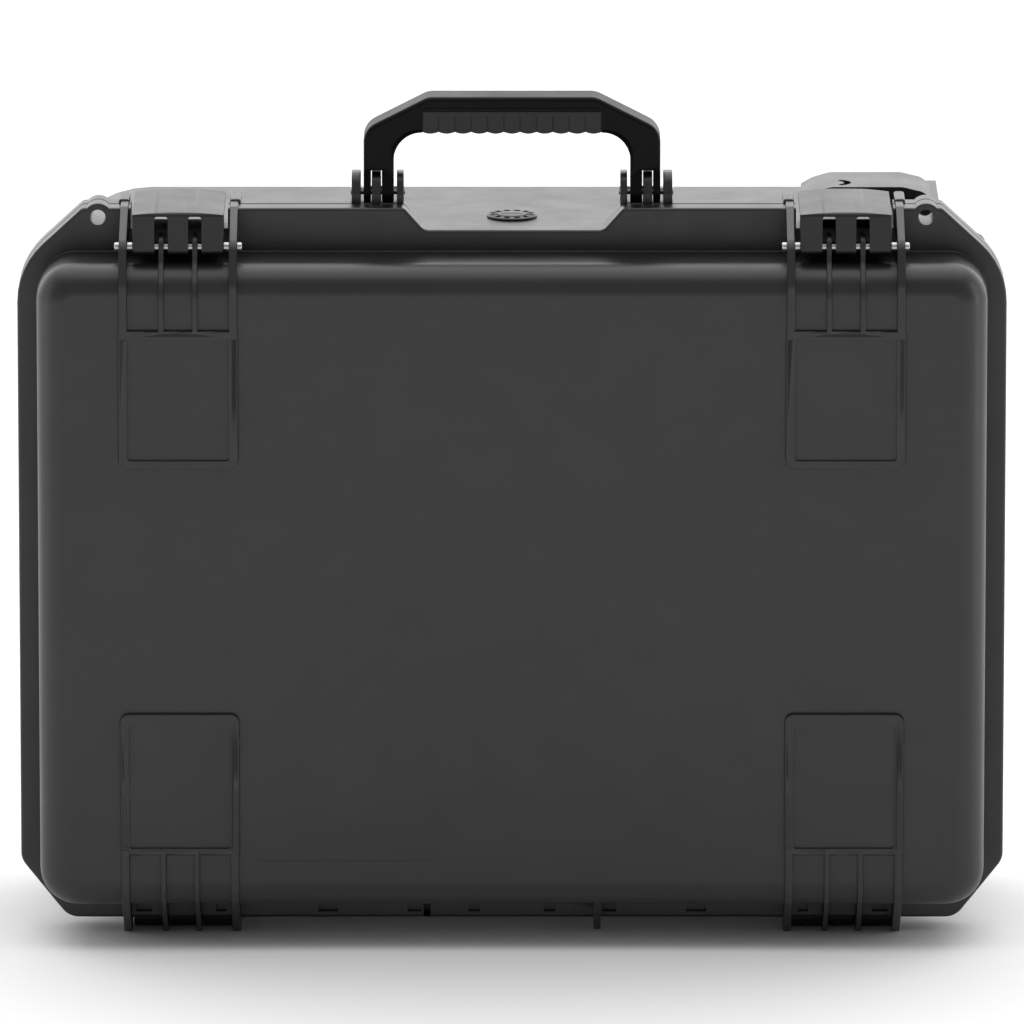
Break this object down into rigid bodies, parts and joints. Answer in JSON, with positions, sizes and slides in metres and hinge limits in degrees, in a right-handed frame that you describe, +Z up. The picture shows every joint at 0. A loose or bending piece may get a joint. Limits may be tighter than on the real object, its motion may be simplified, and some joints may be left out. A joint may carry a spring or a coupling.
{
  "type": "hard tool case",
  "caption": "Hard protective tool case with a hinged domed lid, draw latches, folding carry handle, lift-out tray, wheels and a pull-out trolley handle.",
  "frame": {"origin": "on the surface that the case stands on, at the middle of its width and depth", "axes": "+X to the right as the lid is faced, +Y from the lid to the bottom of the base, +Z up towards the carry handle"},
  "size_m": [0.56, 0.215, 0.4805],
  "materials": {
    "case_plastic": "fine moulded texture, satin",
    "latch_plastic": "smooth satin moulding",
    "handle_plastic": "smooth satin moulding",
    "grip_rubber": "soft matt overmould",
    "seal_rubber": "matt",
    "pin_steel": "turned",
    "valve_plastic": "satin",
    "hub_plastic": "satin",
    "tyre_rubber": "matt",
    "tube_aluminium": "anodised",
    "button_plastic": "semi gloss",
    "tray_plastic": "fine moulded texture"
  },
  "bodies": {
    "case": {"base_shell": "case_plastic", "left_hinge_pin": "pin_steel", "right_hinge_pin": "pin_steel", "left_handle_pin": "pin_steel", "right_handle_pin": "pin_steel", "valve_body": "valve_plastic", "valve_cap": "valve_plastic", "valve_nut": "valve_plastic", "upper_wheel_axle": "pin_steel", "lower_wheel_axle": "pin_steel", "upper_wheel_cover": "case_plastic", "lower_wheel_cover": "case_plastic", "upper_guide_tube": "tube_aluminium", "lower_guide_tube": "tube_aluminium", "trolley_cover": "case_plastic", "upper_left_cover_screw": "pin_steel", "upper_right_cover_screw": "pin_steel", "lower_left_cover_screw": "pin_steel", "lower_right_cover_screw": "pin_steel"},
    "lid": {"lid_shell": "case_plastic", "lid_seal": "seal_rubber", "left_latch_pin": "pin_steel", "right_latch_pin": "pin_steel"},
    "left_latch": {"left_latch_lever": "latch_plastic", "left_hook_pin": "pin_steel"},
    "left_hook": {"left_latch_hook": "latch_plastic"},
    "right_latch": {"right_latch_lever": "latch_plastic", "right_hook_pin": "pin_steel"},
    "right_hook": {"right_latch_hook": "latch_plastic"},
    "handle": {"carry_handle": "handle_plastic", "handle_grip": "grip_rubber"},
    "upper_wheel": {"upper_wheel_hub": "hub_plastic", "upper_wheel_tyre": "tyre_rubber"},
    "lower_wheel": {"lower_wheel_hub": "hub_plastic", "lower_wheel_tyre": "tyre_rubber"},
    "trolley": {"trolley_grip": "handle_plastic", "upper_trolley_rod": "pin_steel", "lower_trolley_rod": "pin_steel"},
    "trolley_release": {"trolley_button": "button_plastic"},
    "tray": {"tray": "tray_plastic", "tray_long_divider": "tray_plastic", "tray_left_divider": "tray_plastic", "tray_right_divider": "tray_plastic"}
  },
  "joints": [
    {"name": "lid_hinge", "type": "hinge", "parent": "case", "child": "lid", "pos_m": [0, -0.0425, 0.007], "axis": [1, 0, 0], "range_deg": [0, 105]},
    {"name": "left_latch_swing", "type": "hinge", "parent": "lid", "child": "left_latch", "pos_m": [-0.188, -0.0855, 0.4035], "axis": [1, 0, 0], "range_deg": [0, 100]},
    {"name": "left_hook_swing", "type": "hinge", "parent": "left_latch", "child": "left_hook", "pos_m": [-0.188, -0.0245, 0.4168], "axis": [1, 0, 0], "range_deg": [0, 60]},
    {"name": "right_latch_swing", "type": "hinge", "parent": "lid", "child": "right_latch", "pos_m": [0.188, -0.0855, 0.4035], "axis": [1, 0, 0], "range_deg": [0, 100]},
    {"name": "right_hook_swing", "type": "hinge", "parent": "right_latch", "child": "right_hook", "pos_m": [0.188, -0.0245, 0.4168], "axis": [1, 0, 0], "range_deg": [0, 60]},
    {"name": "handle_fold", "type": "hinge", "parent": "case", "child": "handle", "pos_m": [0, -0.0275, 0.425], "axis": [1, 0, 0], "range_deg": [-90, 0]},
    {"name": "upper_wheel_spin", "type": "hinge", "parent": "case", "child": "upper_wheel", "pos_m": [0.238, 0.0735, 0.368], "axis": [0, 0, 1], "continuous": true},
    {"name": "lower_wheel_spin", "type": "hinge", "parent": "case", "child": "lower_wheel", "pos_m": [0.238, 0.0735, 0.06], "axis": [0, 0, 1], "continuous": true},
    {"name": "trolley_slide", "type": "slide", "parent": "case", "child": "trolley", "axis": [-1, 0, 0], "range_m": [0, 0.34]},
    {"name": "trolley_button_press", "type": "slide", "parent": "trolley", "child": "trolley_release", "axis": [1, 0, 0], "range_m": [0, 0.0035], "stiffness_N_per_m": 300},
    {"name": "tray_lift", "type": "slide", "parent": "case", "child": "tray", "axis": [0, -1, 0], "range_m": [0, 0.055]}
  ]
}
